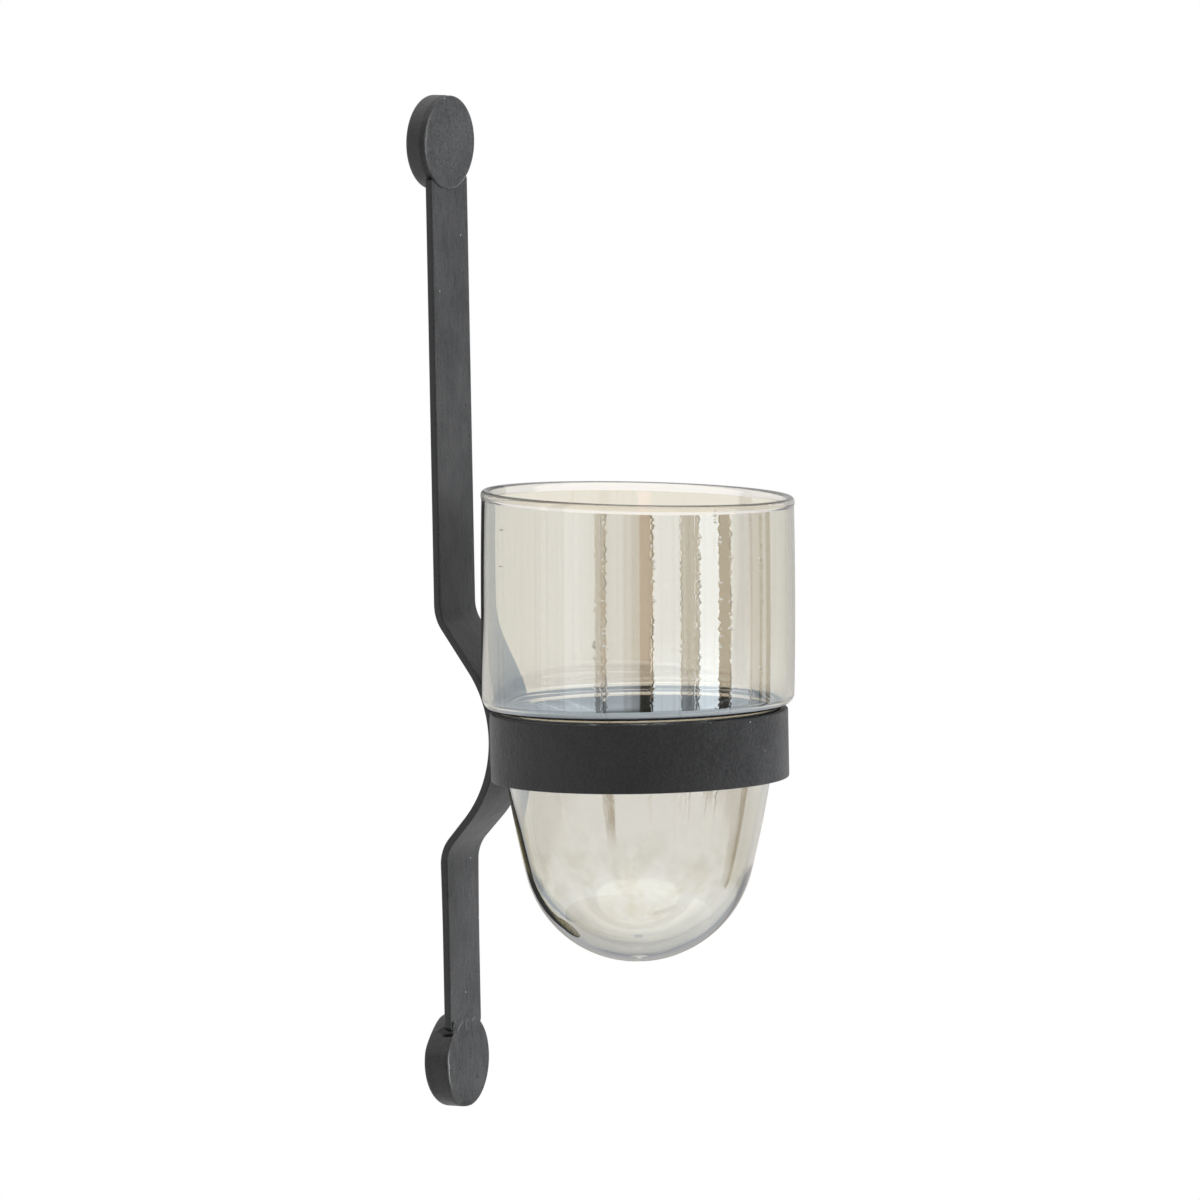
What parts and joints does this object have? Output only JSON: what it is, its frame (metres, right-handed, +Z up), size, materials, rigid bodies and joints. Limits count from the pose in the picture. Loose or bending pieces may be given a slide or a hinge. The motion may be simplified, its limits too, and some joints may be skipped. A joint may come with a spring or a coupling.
{
  "type": "wall tealight holder",
  "caption": "Flat metal wall bracket with a round disc at each end and a bowed middle that carries a band ring, in which a tapered lustre glass cup hangs.",
  "frame": {"origin": "middle of the upper wall disc's back face, on the wall", "axes": "+Y into the wall, +Z up, +X to the right for someone facing the wall"},
  "size_m": [0.092, 0.1144, 0.2993],
  "materials": {
    "strap": "matt black coating on flat iron",
    "disc": "matt black coating on iron",
    "weld": "matt black coating over a weld",
    "ring": "matt black coating on a rolled iron band",
    "glass": "mouth-blown clear glass with a pale amber lustre that mirrors silver-blue"
  },
  "bodies": {
    "bracket": {"wall_strap": "strap", "upper_disc": "disc", "lower_disc": "disc", "lower_weld": "weld", "holder_ring": "ring", "ring_welds": "weld"},
    "glass": {"glass_cup": "glass"}
  },
  "joints": [
    {"name": "glass_lift", "type": "slide", "parent": "bracket", "child": "glass", "axis": [0, 0, 1], "range_m": [0, 0.09]}
  ]
}
